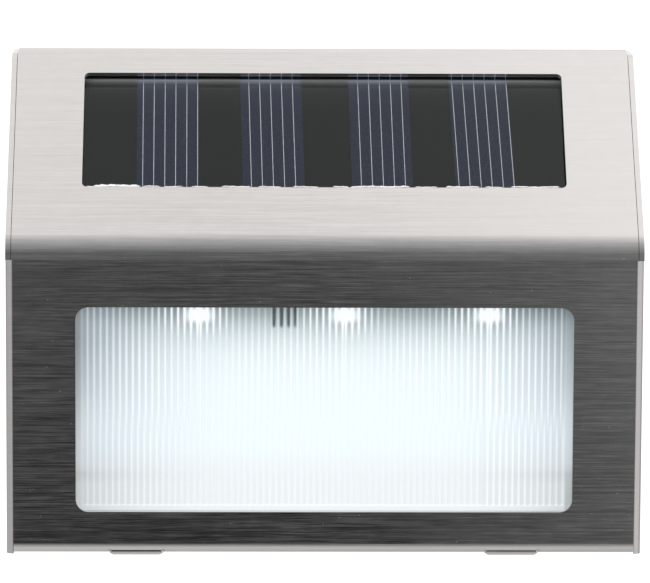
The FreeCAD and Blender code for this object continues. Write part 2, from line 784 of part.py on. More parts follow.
def rear_panel():
    """Back of the lamp: plate, rain rim, battery tub, door grooves, hooks and switch slot."""
    body = new_body("rear_panel")
    half = "housing_half"
    plate = box_outline(f"-({half})", half, "housing_foot", "housing_top")
    pad_outline(body, "plate", "XZ", "panel_front", "panel_rear", plate)
    inner = "housing_half - rim_wall"
    pad_outline(body, "rim", "XZ", "panel_rear", "-rim_rear_gap", [
        (f"-({half})", "housing_foot"),
        (f"-({half})", "housing_top"),
        (half, "housing_top"),
        (half, "housing_foot"),
        (inner, "housing_foot"),
        (inner, "housing_top - rim_wall"),
        (f"-({inner})", "housing_top - rim_wall"),
        (f"-({inner})", "housing_foot"),
    ])
    tub_outer = "tub_half + tub_wall"
    pad_outline(body, "tub", "XZ", "tub_front - tub_wall", "panel_front", box_outline(
        f"-({tub_outer})", tub_outer,
        "battery_level - (tub_reach + tub_wall)", "battery_level + tub_reach + tub_wall"))
    cut_outline(body, "tub_hollow", "XZ", "tub_front", "panel_rear + 1", box_outline(
        "-(tub_half)", "tub_half", "battery_level - (tub_reach)", "battery_level + tub_reach"))

    # The door's way is open at the bottom, and its two grooves run under the panel's rear face.
    way_half = "door_half + door_play"
    way_top = "door_top + door_play"
    below = "housing_foot - 1"
    cut_outline(body, "door_way", "XZ", "door_front - door_play", "panel_rear + 1",
                box_outline(f"-({way_half})", way_half, below, way_top))
    groove_half = "door_half + tongue_reach + door_play"
    cut_outline(body, "door_grooves", "XZ", "door_front - door_play", "tongue_rear + door_play",
                box_outline(f"-({groove_half})", groove_half, below, way_top))
    cut_circles(body, "screw_holes", "XZ", "panel_front - 1", "panel_rear + 1",
                boss_circles("screw_radius + screw_play"))
    slot_reach = "knob_height / 2 + knob_play"
    cut_outline(body, "switch_slot", "XZ", "panel_front - 1", "panel_rear + 1", box_outline(
        "switch_offset - (knob_room)", "switch_offset + knob_room",
        f"switch_level - ({slot_reach})", f"switch_level + {slot_reach}"))

    # Each hook is a rib beside a rail of the wall plate whose inner lip reaches behind the rail.
    hook_outer = "hook_side + hook_wall"
    low = "-plate_half_height"
    rib = pad_outline(body, "hook_rib", "XY", low, "hook_top + hook_wall", [
        ("hook_side", "panel_rear"),
        (hook_outer, "panel_rear"),
        (hook_outer, "-rim_rear_gap"),
        ("rail_half - hook_grip", "-rim_rear_gap"),
        ("rail_half - hook_grip", "hook_front"),
        ("hook_side", "hook_front"),
    ])
    stop = pad_outline(body, "hook_stop", "XY", "hook_top", "hook_top + hook_wall", box_outline(
        "rail_half - hook_grip", hook_outer, "panel_rear", "-rim_rear_gap"))
    mirror_sides(body, "hooks", [rib, stop])
    return body


def battery_door():
    """Sliding lid of the tub, with a tongue on each side and a finger recess."""
    body = new_body("battery_door")
    foot = "housing_foot"
    door = box_outline("-(door_half)", "door_half", foot, "door_top")
    pad_outline(body, "lid", "XZ", "door_front", "panel_rear", door)
    tongue_half = "door_half + tongue_reach"
    pad_outline(body, "tongues", "XZ", "door_front", "tongue_rear",
                box_outline(f"-({tongue_half})", tongue_half, foot, "door_top"))
    grip_foot = "housing_foot + housing_wall"
    cut_outline(body, "grip", "XZ", "panel_rear - grip_depth", "panel_rear", box_outline(
        "-grip_width / 2", "grip_width / 2", grip_foot, f"{grip_foot} + grip_width / 3"))
    return body


# ---- light chamber and electronics ---------------------------------------------------------------

def reflector():
    """White chamber behind the lens: open front, holes for the LEDs, floor that slants forward."""
    body = new_body("reflector")
    pad_outline(body, "shell", "YZ", "-(reflector_half)", "reflector_half", [
        ("reflector_front", "reflector_foot"),
        ("reflector_front", "reflector_top"),
        ("reflector_rear", "reflector_top"),
        ("reflector_rear", "kink_level"),
    ])
    inner_rear = "reflector_rear - reflector_gauge"
    cut_outline(body, "chamber", "YZ", "-(chamber_half)", "chamber_half", [
        ("reflector_front - 1", "reflector_foot + floor_lift - floor_pitch"),
        ("reflector_front - 1", "reflector_top - reflector_gauge"),
        (inner_rear, "reflector_top - reflector_gauge"),
        (inner_rear, "kink_level + floor_lift - floor_pitch * reflector_gauge"),
    ])
    hole_radius = "led_rim_radius + led_play"
    holes = [(f"led_offset + ({step}) * led_pitch", "led_line", hole_radius) for step in (-1, 0, 1)]
    top = ("reflector_top - reflector_gauge - 0.5", "reflector_top + 0.5")
    cut_circles(body, "led_holes", "XY", *top, holes)
    reach = "driver_width / 2 + led_play"
    deep = "driver_depth / 2 + led_play"
    cut_outline(body, "driver_slot", "XY", *top, box_outline(
        f"driver_offset - ({reach})", f"driver_offset + {reach}",
        f"driver_line - ({deep})", f"driver_line + {deep}"))
    return body


def led_board():
    """Circuit board lying on the chamber's roof."""
    body = new_body("led_board")
    pad_outline(body, "board", "XY", "reflector_top", "board_top", box_outline(
        "-(led_board_half)", "led_board_half", "board_front", "reflector_rear"))
    return body


def leds():
    """Three wide-angle LEDs that hang from the board into the chamber."""
    body = new_body("leds", several=True)
    rim_foot = "reflector_top - led_rim_height"
    shoulder = "reflector_top - (led_length - led_radius / 2)"
    tip = "reflector_top - led_length"
    first = "led_offset - led_pitch"
    lamp = turn_upright(body, "led", "led_line", (first, "0"), [
        ("0", "reflector_top"),
        ("led_rim_radius", "reflector_top"),
        ("led_rim_radius", rim_foot),
        ("led_radius", rim_foot),
        ("led_radius", shoulder),
        ("led_radius * 0.78", f"{tip} + led_radius * 0.17"),
        ("led_radius * 0.4", tip),
        ("0", tip),
    ])
    repeat_along_x(body, "led_row", [lamp], "led_pitch * 2", "3")
    return body


def driver_ic():
    """Four-leg driver chip that hangs from the board beside the left LED."""
    body = new_body("driver_ic")
    half = "driver_width / 2"
    deep = "driver_depth / 2"
    pad_outline(body, "case", "XY", "driver_top - driver_height", "driver_top", [
        (f"driver_offset - {half}", f"driver_line + {deep}"),
        (f"driver_offset - {half}", "driver_line"),
        (f"driver_offset - {half} + {deep}", f"driver_line - {deep}"),
        (f"driver_offset + {half} - {deep}", f"driver_line - {deep}"),
        (f"driver_offset + {half}", "driver_line"),
        (f"driver_offset + {half}", f"driver_line + {deep}"),
    ])
    sketch = new_sketch(body, "legs_sketch", "XY", "driver_top")
    for step in (-1.5, -0.5, 0.5, 1.5):
        middle = f"driver_offset + ({step}) * leg_pitch"
        add_outline(sketch, box_outline(f"{middle} - leg_width / 2", f"{middle} + leg_width / 2",
                                        "driver_line - leg_width / 2", "driver_line + leg_width / 2"))
    grow(body, "legs", sketch, "driver_stand")
    return body


def inductor():
    """Drum choke standing on the board."""
    body = new_body("inductor")
    cheek = "choke_height / 5"
    turn_upright(body, "drum", "(lens_back + reflector_rear) / 2", ("choke_offset", "0"), [
        ("0", "board_top"),
        ("choke_radius", "board_top"),
        ("choke_radius", f"board_top + {cheek}"),
        ("choke_neck", f"board_top + {cheek}"),
        ("choke_neck", f"board_top + choke_height - {cheek}"),
        ("choke_radius", f"board_top + choke_height - {cheek}"),
        ("choke_radius", "board_top + choke_height"),
        ("0", "board_top + choke_height"),
    ])
    return body


def battery():
    """Cylindrical cell lying along X, its terminal nub to the right."""
    body = new_body("battery")
    half = "battery_length / 2"
    turn_outline(body, "cell_can", "XZ", "battery_line", ("0", "battery_level"), [
        (f"-{half}", "0"),
        (f"-{half}", "battery_radius"),
        (f"{half} - nub_length", "battery_radius"),
        (f"{half} - nub_length", "nub_radius"),
        (half, "nub_radius"),
        (half, "0"),
    ])
    return body


def battery_contact(name, side):
    """Spring plate on an end wall of the tub whose boss reaches the battery."""
    body = new_body(name)
    wall = "tub_half"
    face = "tub_half - contact_gauge"
    reach = "battery_length / 2 + contact_play"
    deep = "contact_width / 2"
    levels = (wall, face) if side < 0 else (face, wall)
    sign = "-" if side < 0 else ""
    pad_outline(body, name + "_plate", "YZ", f"{sign}({levels[0]})", f"{sign}({levels[1]})", box_outline(
        f"battery_line - {deep}", f"battery_line + {deep}",
        "battery_level - (tub_reach)", "battery_level + tub_reach"))
    turn_outline(body, name + "_boss", "XZ", "battery_line", ("0", "battery_level"), [
        (f"{sign}({face})", "0"),
        (f"{sign}({face})", "contact_width / 3"),
        (f"{sign}({reach})", "contact_width / 5"),
        (f"{sign}({reach})", "0"),
    ])
    return body


def switch_body():
    """Slide switch behind the panel, with the groove that its knob runs in."""
    body = new_body("switch_body")
    half = "switch_width / 2"
    tall = "switch_height / 2"
    pad_outline(body, "case_block", "XZ", "panel_front - switch_depth", "panel_front", box_outline(
        f"switch_offset - {half}", f"switch_offset + {half}",
        f"switch_level - {tall}", f"switch_level + {tall}"))
    reach = "knob_height / 2 + knob_play"
    cut_outline(body, "groove", "XZ", "panel_front - knob_root - contact_play", "panel_front", box_outline(
        "switch_offset - (knob_room)", "switch_offset + knob_room",
        f"switch_level - ({reach})", f"switch_level + {reach}"))
    return body


def switch_knob():
    """Knob at the left end of its travel, proud of the panel's rear face."""
    body = new_body("switch_knob")
    middle = "switch_offset - knob_travel / 2"
    pad_outline(body, "knob", "XZ", "panel_front - knob_root", "panel_rear + knob_proud", box_outline(
        f"{middle} - knob_width / 2", f"{middle} + knob_width / 2",
        "switch_level - knob_height / 2", "switch_level + knob_height / 2"))
    return body


def panel_screws():
    """Four pan-head screws through the rear panel into the housing's bosses."""
    body = new_body("panel_screws", several=True)
    shanks = boss_circles("screw_radius")
    heads = boss_circles("screw_head_radius")
    end = "panel_front - screw_length + screw_play"
    pad_circles(body, "shanks", "XZ", end, "panel_rear", shanks)
    pad_circles(body, "heads", "XZ", "panel_rear", "panel_rear + screw_head_height", heads)
    return body


# ---- wall plate ----------------------------------------------------------------------------------

def wall_plate():
    """Folded plate: flat back with two screw holes, and a rail folded outward on each side."""
    body = new_body("wall_plate")
    web = "plate_half - plate_gauge"
    inner_corners = [("{0}plate_half", "rail_rear"), ("{0}({1})", "-plate_gauge")]
    outer_corners = [("{0}plate_half", "0"), ("{0}({1})", "-rail_stand")]
    right = [
        ("plate_half", "0"),
        ("plate_half", "rail_rear"),
        ("rail_half", "rail_rear"),
        ("rail_half", "-rail_stand"),
        (web, "-rail_stand"),
        (web, "-plate_gauge"),
    ]
    left = [(f"-({across})", along) for across, along in reversed(right)]
    pad_outline(body, "fold", "XY", "-plate_half_height", "plate_half_height", right + left)
    for name, corners, radius in (
        ("outer_bends", outer_corners, "plate_bend + plate_gauge"),
        ("inner_bends", inner_corners, "plate_bend"),
    ):
        points = [(across.format(side, web), along) for side in ("", "-") for across, along in corners]
        round_edges(body, name, radius, "XY", points)
    reach = "mount_spacing / 2"
    holes = [(reach, "0", "mount_hole_radius"), (f"-{reach}", "0", "mount_hole_radius")]
    cut_circles(body, "mount_holes", "XZ", "-plate_gauge - 1", "1", holes)
    return body


# ---- inner wires ---------------------------------------------------------------------------------

def solar_leads():
    """Two wires from the back of the solar module through the housing to the board."""
    routes = []
    for step in (-1, 1):
        across = f"solar_wire_offset + ({step}) * wire_spread"
        start_y = "front + module_floor * slope_cos + solar_wire_up * slope_sin"
        start_z = "knee_level - module_floor * slope_sin + solar_wire_up * slope_cos"
        drop = "(cavity_floor - module_floor + 5)"
        board_y = "reflector_rear - board_wire_inset / 3"
        routes.append([
            (across, start_y, start_z),
            (across, f"{start_y} + {drop} * slope_cos", f"{start_z} - {drop} * slope_sin"),
            (across, board_y, "board_top + 6"),
            (across, board_y, "board_top"),
        ])
    return wires("solar_leads", routes)


def battery_leads():
    """Wires from the tub's ends up to the rear of the board."""
    routes = []
    for side in (-1, 1):
        foot_x = f"{side} * (tub_half + tub_wall + wire_radius)"
        foot_z = "battery_level + tub_reach + tub_wall"
        top_y = "reflector_rear - wire_spread * 2"
        routes.append([
            (foot_x, "battery_line", foot_z),
            (foot_x, "battery_line", f"{foot_z} + 12"),
            (foot_x, "battery_line - 2", "board_top + 7"),
            (foot_x, top_y, "board_top + 7"),
            (foot_x, top_y, "board_top"),
        ])
    return wires("battery_leads", routes)


# ---- the whole lamp ------------------------------------------------------------------------------

def build():
    return [
        steel_cover(),
        module_sheet("solar_glass", "sheet_gauge", "glass_floor"),
        solar_cells(),
        module_sheet("solar_backboard", "cell_floor", "module_floor"),
        ribbed_lens(),
        inner_housing(),
        rear_panel(),
        battery_door(),
        reflector(),
        led_board(),
        leds(),
        driver_ic(),
        inductor(),
        battery(),
        battery_contact("positive_contact", 1),
        battery_contact("negative_contact", -1),
        switch_body(),
        switch_knob(),
        panel_screws(),
        wall_plate(),
        solar_leads(),
        battery_leads(),
    ]


nodes = build()
doc.recompute()
for item in doc.Objects:
    if "Invalid" in item.State or "Error" in item.State:
        raise ValueError(f"{item.Name} failed: {item.State}")
for node in nodes:
    if node.Shape.isNull() or not node.Shape.isValid():
        raise ValueError(f"{node.Label} has no valid shape")
os.makedirs("parts", exist_ok=True)
for node in nodes:
    node.Shape.exportStep(f"parts/{node.Label}.step")
    print(f"{node.Label}: {len(node.Shape.Solids)} solids, {node.Shape.Volume:.1f} mm3")
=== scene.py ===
"""Looks of the solar fence light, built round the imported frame.

Metres, in the frame's own axes: X to the viewer's right, Y towards the wall, Z up.
Lengths in the making of a piece are written in millimetres and turned by MM at the end.
"""
import math

import bmesh
import bpy
import numpy as np
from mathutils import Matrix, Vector


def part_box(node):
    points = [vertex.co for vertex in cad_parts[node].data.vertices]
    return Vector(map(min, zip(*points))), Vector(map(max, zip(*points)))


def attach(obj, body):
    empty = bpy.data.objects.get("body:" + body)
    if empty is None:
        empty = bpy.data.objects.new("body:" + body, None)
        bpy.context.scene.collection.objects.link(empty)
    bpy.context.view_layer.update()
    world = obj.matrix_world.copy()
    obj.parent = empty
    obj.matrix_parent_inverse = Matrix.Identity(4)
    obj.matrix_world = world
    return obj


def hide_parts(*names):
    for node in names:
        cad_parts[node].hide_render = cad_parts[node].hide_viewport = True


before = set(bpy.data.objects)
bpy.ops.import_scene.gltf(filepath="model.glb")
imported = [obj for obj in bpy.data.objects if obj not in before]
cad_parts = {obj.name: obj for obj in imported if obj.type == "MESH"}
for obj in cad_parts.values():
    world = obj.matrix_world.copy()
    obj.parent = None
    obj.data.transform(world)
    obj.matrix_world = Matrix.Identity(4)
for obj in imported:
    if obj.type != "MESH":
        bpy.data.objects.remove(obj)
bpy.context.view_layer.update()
MM = 0.001


def node_box(name):
    """Lowest and highest corner of a CAD node in millimetres."""
    low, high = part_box(name)
    return np.array(low) / MM, np.array(high) / MM


# ---- stage -------------------------------------------------------------------------------------

IMAGE_WIDTH = 650
SENSOR_WIDTH = 36
# Fitted to the photograph: focal length in pixels, place in metres, turn in degrees.
FOCAL_PIXELS = 4507.6
CAMERA_PLACE = (-0.017238, -0.883658, 0.115460)
CAMERA_TURN = (82.3595, -0.2659, -1.1398)


def set_camera():
    """The photograph's viewpoint: long lens, a little above the lamp and left of its middle."""
    data = bpy.data.cameras.new("camera")
    data.sensor_fit = "HORIZONTAL"
    data.sensor_width = SENSOR_WIDTH
    data.lens = FOCAL_PIXELS / IMAGE_WIDTH * data.sensor_width
    camera = bpy.data.objects.new("camera", data)
    camera.location = CAMERA_PLACE
    camera.rotation_euler = [math.radians(angle) for angle in CAMERA_TURN]
    bpy.context.scene.collection.objects.link(camera)
    bpy.context.scene.camera = camera


# ---- node helpers ------------------------------------------------------------------------------

def add_node(tree, kind, *values, **settings):
    """A shader node with its inputs in order: None leaves one, an output links, else a value."""
    node = tree.nodes.new("ShaderNode" + kind)
    for name, setting in settings.items():
        setattr(node, name, setting)
    for socket, given in zip(node.inputs, values):
        if isinstance(given, bpy.types.NodeSocket):
            tree.links.new(given, socket)
        elif given is not None:
            socket.default_value = given
    return node.outputs[0]


def calc(tree, operation, *values):
    return add_node(tree, "Math", *values, operation=operation)


def stretch(tree, source, low, high, to_low=0.0, to_high=1.0, smooth=False):
    """Maps low..high of a value to another range, held at its ends."""
    return add_node(tree, "MapRange", source, low, high, to_low, to_high,
                    interpolation_type="SMOOTHSTEP" if smooth else "LINEAR")


def mix_number(tree, factor, first, second):
    node = tree.nodes.new("ShaderNodeMix")
    for socket, given in zip((node.inputs[0], node.inputs[2], node.inputs[3]), (factor, first, second)):
        if isinstance(given, bpy.types.NodeSocket):
            tree.links.new(given, socket)
        else:
            socket.default_value = given
    return node.outputs[0]


def mix_colour(tree, factor, first, second):
    node = tree.nodes.new("ShaderNodeMix")
    node.data_type = "RGBA"
    for socket, given in zip((node.inputs[0], node.inputs[6], node.inputs[7]), (factor, first, second)):
        if isinstance(given, bpy.types.NodeSocket):
            tree.links.new(given, socket)
        else:
            socket.default_value = given if np.isscalar(given) else (*given, 1)
    return node.outputs[2]


def object_place(tree, scale=(1, 1, 1)):
    """Object coordinates scaled for a pattern. Scale is per metre."""
    place = tree.nodes.new("ShaderNodeTexCoord").outputs["Object"]
    return add_node(tree, "Mapping", place, None, None, scale)


def noise(tree, place, scale=1.0, detail=2.0, roughness=0.5):
    node = tree.nodes.new("ShaderNodeTexNoise")
    tree.links.new(place, node.inputs["Vector"])
    node.inputs["Scale"].default_value = scale
    node.inputs["Detail"].default_value = detail
    node.inputs["Roughness"].default_value = roughness
    return node.outputs[0]


def bump(tree, height, strength, distance):
    node = tree.nodes.new("ShaderNodeBump")
    node.inputs["Strength"].default_value = strength
    node.inputs["Distance"].default_value = distance
    tree.links.new(height, node.inputs["Height"])
    return node.outputs[0]


def new_finish(name, **numbers):
    """A material and its Principled shader, with plain values on the shader's own sockets."""
    material = bpy.data.materials.new(name)
    material.use_nodes = True
    shader = material.node_tree.nodes["Principled BSDF"]
    for socket, number in numbers.items():
        shader.inputs[socket.replace("_", " ")].default_value = number
    return material, material.node_tree, shader


def link(tree, shader, **sources):
    for socket, source in sources.items():
        tree.links.new(source, shader.inputs[socket.replace("_", " ")])


# ---- studio ------------------------------------------------------------------------------------

# Brightness that is mirrored from where the camera stands.
DARK_MIDDLE = 0.115
# Above and below, it rises: from this elevation to that one, by so much.
MIDDLE_RISES = ((-2, 24, 0.03), (16, 55, 0.37), (55, 78.5, 0.31), (77, 79, 0.15), (79.5, 82, 0.15),
                (-14, -60, 0.62))
WORLD_LIGHT = 0.72


def light_studio():
    """A white room that is bright above and beside the lamp and dark where the camera stands.

    The brightness that metal and glass mirror depends on the direction: across from the dark
    middle, and up from it, it rises smoothly to white.
    """
    world = bpy.data.worlds.new("studio")
    bpy.context.scene.world = world
    world.use_nodes = True
    tree = world.node_tree
    background = tree.nodes["Background"]
    heading = tree.nodes.new("ShaderNodeTexCoord").outputs["Generated"]
    axes = tree.nodes.new("ShaderNodeSeparateXYZ")
    tree.links.new(heading, axes.inputs[0])
    across, along, up = axes.outputs
    degrees = 180 / math.pi
    forward = calc(tree, "MULTIPLY", along, -1.0)
    azimuth = calc(tree, "MULTIPLY", calc(tree, "ARCTAN2", across, forward), degrees)
    elevation = calc(tree, "MULTIPLY", calc(tree, "ARCSINE", up), degrees)

    aside = calc(tree, "ABSOLUTE", calc(tree, "ADD", azimuth, 0.5))
    middle = stretch(tree, elevation, -12.0, -2.0, 0.0, DARK_MIDDLE, smooth=True)
    for low, high, rise in MIDDLE_RISES:
        middle = calc(tree, "ADD", middle, stretch(tree, elevation, low, high, 0.0, rise))
    beside = stretch(tree, azimuth, -25.0, 25.0, 0.52, 0.70, smooth=True)
    above = stretch(tree, azimuth, -25.0, 25.0, 1.0, 1.14)
    side = mix_number(tree, stretch(tree, elevation, 30.0, 78.0, smooth=True), beside, above)
    behind = stretch(tree, calc(tree, "ABSOLUTE", azimuth), 135.0, 170.0, smooth=True)
    side = mix_number(tree, behind, side, 1.0)
    leaving = calc(tree, "POWER", stretch(tree, aside, 1.2, 20.0), 1.4)
    mirrored = mix_number(tree, leaving, middle, side)
    front = mix_number(tree, stretch(tree, mirrored, 0.1, 0.9), 1.0, 0.0)

    path = tree.nodes.new("ShaderNodeLightPath")
    seen = calc(tree, "MAXIMUM", path.outputs["Is Glossy Ray"], path.outputs["Is Transmission Ray"])
    strength = mix_number(tree, seen, WORLD_LIGHT, mirrored)
    strength = mix_number(tree, path.outputs["Is Camera Ray"], strength, 1.0)
    cool = calc(tree, "MULTIPLY", front, seen)
    tree.links.new(mix_colour(tree, cool, (1.0, 1.0, 1.0), (0.94, 0.985, 1.02)), background.inputs["Color"])
    tree.links.new(strength, background.inputs["Strength"])

    lamp = bpy.data.lights.new("soft_box", "AREA")
    lamp.shape, lamp.size, lamp.energy = "DISK", 1.1, 16
    box = bpy.data.objects.new("soft_box", lamp)
    box.location = (-0.35, -0.5, 1.1)
    box.rotation_euler = Vector((0.35, 0.5, -1.1)).to_track_quat("-Z", "Y").to_euler()
    box.visible_glossy = False
    bpy.context.scene.collection.objects.link(box)


def lay_floor():
    """A round pale floor well under the lamp: one ring of points, closed by one face."""
    radius, level, sides, reach_forward = 3.2, -0.25, 96, 0.15
    turn = np.linspace(0, 2 * math.pi, sides, endpoint=False)
    rim = np.column_stack([radius * np.cos(turn), radius * np.sin(turn) + radius - reach_forward,
                           np.full(sides, level)])
    mesh = bpy.data.meshes.new("floor")
    mesh.from_pydata(rim.tolist(), [], [list(range(sides))])
    floor = bpy.data.objects.new("floor", mesh)
    bpy.context.scene.collection.objects.link(floor)
    material, tree, shader = new_finish("pale_floor", Roughness=0.9, Emission_Color=(1, 1, 1, 1))
    grain = noise(tree, object_place(tree, (40, 40, 40)), detail=4)
    link(tree, shader, Base_Color=mix_colour(tree, grain, (0.44, 0.44, 0.44), (0.47, 0.47, 0.47)))
    path = tree.nodes.new("ShaderNodeLightPath")
    mirrored = calc(tree, "MAXIMUM", path.outputs["Is Glossy Ray"], path.outputs["Is Transmission Ray"])
    glow = calc(tree, "ADD", calc(tree, "MULTIPLY", path.outputs["Is Camera Ray"], 0.85),
                calc(tree, "MULTIPLY", mirrored, 0.02))
    tree.links.new(glow, shader.inputs["Emission Strength"])
    mesh.materials.append(material)


# ---- mesh helpers ------------------------------------------------------------------------------

def put_in(name, mesh, body, replaced=(), materials=()):
    """Makes the object, puts it on what it rides on, hides the nodes it replaces and gives it its finish."""
    piece = bpy.data.objects.new(name, mesh)
    bpy.context.scene.collection.objects.link(piece)
    for material in materials:
        mesh.materials.append(material)
    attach(piece, body)
    if replaced:
        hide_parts(*replaced)
    return piece


def grid_faces(rows, columns, ring=False, start=0):
    """Quads over a grid of points. A ring joins its last column to its first."""
    row = np.arange(rows - 1)[:, None] * columns
    column = np.arange(columns if ring else columns - 1)[None, :]
    following = (column + 1) % columns
    return start + np.stack([row + column, row + following, row + columns + following,
                             row + columns + column], axis=-1).reshape(-1, 4)


def mesh_of(name, points, faces, smooth=True):
    """A mesh from points in millimetres."""
    mesh = bpy.data.meshes.new(name)
    corners = (np.asarray(points).reshape(-1, 3) * MM).tolist()
    mesh.from_pydata(corners, [], [list(map(int, face)) for face in faces])
    mesh.polygons.foreach_set("use_smooth", np.full(len(mesh.polygons), smooth))
    mesh.update()
    return mesh


def face_outward(mesh):
    """Turns the faces of a closed mesh outwards, after its doubles are merged."""
    work = bmesh.new()
    work.from_mesh(mesh)
    bmesh.ops.remove_doubles(work, verts=work.verts, dist=1e-7)
    bmesh.ops.recalc_face_normals(work, faces=work.faces)
    work.to_mesh(mesh)
    work.free()


def trimmed_copy(node, name, angle=30.0):
    """A CAD node's mesh with its doubles merged, flat faces joined and sharp edges marked."""
    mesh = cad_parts[node].data.copy()
    mesh.name = name
    mesh.materials.clear()
    work = bmesh.new()
    work.from_mesh(mesh)
    bmesh.ops.remove_doubles(work, verts=work.verts, dist=1e-6)
    bmesh.ops.dissolve_limit(work, angle_limit=math.radians(0.2), verts=work.verts, edges=work.edges)
    limit = math.radians(angle)
    for face in work.faces:
        face.smooth = True
    for edge in work.edges:
        edge.smooth = len(edge.link_faces) == 2 and edge.calc_face_angle(0) < limit
    work.to_mesh(mesh)
    work.free()
    return mesh


def ease_edges(piece, width, segments=2, angle=30.0):
    """A small bevel on the sharp edges, with normals that keep the flats flat."""
    bevel = piece.modifiers.new("eased_edges", "BEVEL")
    bevel.width = width * MM
    bevel.segments = segments
    bevel.limit_method = "ANGLE"
    bevel.angle_limit = math.radians(angle)
    bevel.harden_normals = False
    bevel.miter_outer = "MITER_ARC"
    weighted = piece.modifiers.new("flat_shading", "WEIGHTED_NORMAL")
    weighted.keep_sharp = True
    weighted.weight = 80


def round_flap_fronts(piece, width, fine):
    """Rounds the outer front edge of both flaps, and eases every other sharp edge a little."""
    mesh = piece.data
    side = max(abs(v.co.x) for v in mesh.vertices)
    work = bmesh.new()
    work.from_mesh(mesh)
    weights = work.edges.layers.float
    layer = weights.get("bevel_weight_edge") or weights.new("bevel_weight_edge")
    for edge in work.edges:
        outside = all(abs(abs(v.co.x) - side) < 1e-6 for v in edge.verts)
        forward = min((face.normal.y for face in edge.link_faces), default=0)
        if outside and forward < -0.2 and max(abs(face.normal.x) for face in edge.link_faces) > 0.9:
            edge[layer] = 1.0
        elif not edge.smooth:
            edge[layer] = fine / width
    work.to_mesh(mesh)
    work.free()
    bevel = piece.modifiers["eased_edges"]
    bevel.width = width * MM
    bevel.limit_method = "WEIGHT"
    bevel.segments = 4


def dress(node, name, body, material, bevel=0.15, segments=2):
    """Replaces a CAD node by a copy of itself with eased edges and a finish."""
    piece = put_in(name, trimmed_copy(node, name), body, [node], [material])
    if bevel:
        ease_edges(piece, bevel, segments)
    return piece


# ---- finishes ----------------------------------------------------------------------------------

def brushed_steel():
    """Sheet steel brushed along its length: long fine lines, cloudy patches and specks."""
    material, tree, shader = new_finish("brushed_steel", Metallic=1.0)
    normal = add_node(tree, "SeparateXYZ", tree.nodes.new("ShaderNodeNewGeometry").outputs["Normal"])
    flap = calc(tree, "GREATER_THAN", calc(tree, "ABSOLUTE", normal), 0.75)

    def grain(along, across, detail):
        front = noise(tree, object_place(tree, (along, across, across)), detail=detail, roughness=0.65)
        side = noise(tree, object_place(tree, (across, along, across)), detail=detail, roughness=0.65)
        return mix_number(tree, flap, front, side)

    fine = grain(120, 5200, 3)
    lines = grain(45, 2600, 2)
    broad = grain(20, 700, 2)
    mottle = noise(tree, object_place(tree, (260, 420, 420)), detail=4, roughness=0.6)
    speck = noise(tree, object_place(tree, (1500, 2100, 2100)), detail=2, roughness=0.5)
    specks = stretch(tree, speck, 0.765, 0.81, 0.0, 0.45)
    brushed = calc(tree, "ADD", calc(tree, "MULTIPLY", fine, 0.55), calc(tree, "MULTIPLY", lines, 0.45))
    brushed = stretch(tree, brushed, 0.36, 0.64)
    cloudy = calc(tree, "ADD", calc(tree, "MULTIPLY", broad, 0.5), calc(tree, "MULTIPLY", mottle, 0.5))
    cloudy = stretch(tree, cloudy, 0.36, 0.64)
    tone = calc(tree, "ADD", calc(tree, "MULTIPLY", brushed, 0.6), calc(tree, "MULTIPLY", cloudy, 0.4))
    colour = mix_colour(tree, tone, (0.685, 0.655, 0.640), (0.765, 0.735, 0.718))
    colour = mix_colour(tree, specks, colour, (0.86, 0.85, 0.84))
    rough = stretch(tree, brushed, 0.0, 1.0, 0.09, 0.22)
    rough = calc(tree, "ADD", rough, stretch(tree, cloudy, 0.0, 1.0, -0.015, 0.015))
    rough = mix_number(tree, specks, rough, 0.6)
    height = calc(tree, "ADD", calc(tree, "MULTIPLY", fine, 0.6), lines)
    surface = bump(tree, height, 0.5, 0.000014)
    link(tree, shader, Base_Color=colour, Roughness=rough, Normal=surface)
    return material


def moulded_plastic(name, dark, light, roughness=0.45, pebble=1400.0, depth=0.00002):
    """Injection-moulded plastic: a fine spark-eroded grain and a faint cloudiness."""
    material, tree, shader = new_finish(name, IOR=1.49)
    cloud = noise(tree, object_place(tree, (60, 60, 60)), detail=3)
    pits = noise(tree, object_place(tree, (pebble,) * 3), detail=3, roughness=0.6)
    scuff = stretch(tree, noise(tree, object_place(tree, (90, 90, 700)), detail=4, roughness=0.7), 0.62, 0.75)
    colour = mix_colour(tree, cloud, dark, light)
    worn = tuple(min(1.0, c * 1.4 + 0.02) for c in light)
    colour = mix_colour(tree, calc(tree, "MULTIPLY", scuff, 0.35), colour, worn)
    rough = calc(tree, "ADD", stretch(tree, pits, 0.35, 0.65, roughness - 0.06, roughness + 0.08),
                 calc(tree, "MULTIPLY", scuff, 0.12))
    link(tree, shader, Base_Color=colour, Roughness=rough, Normal=bump(tree, pits, 0.35, depth))
    return material


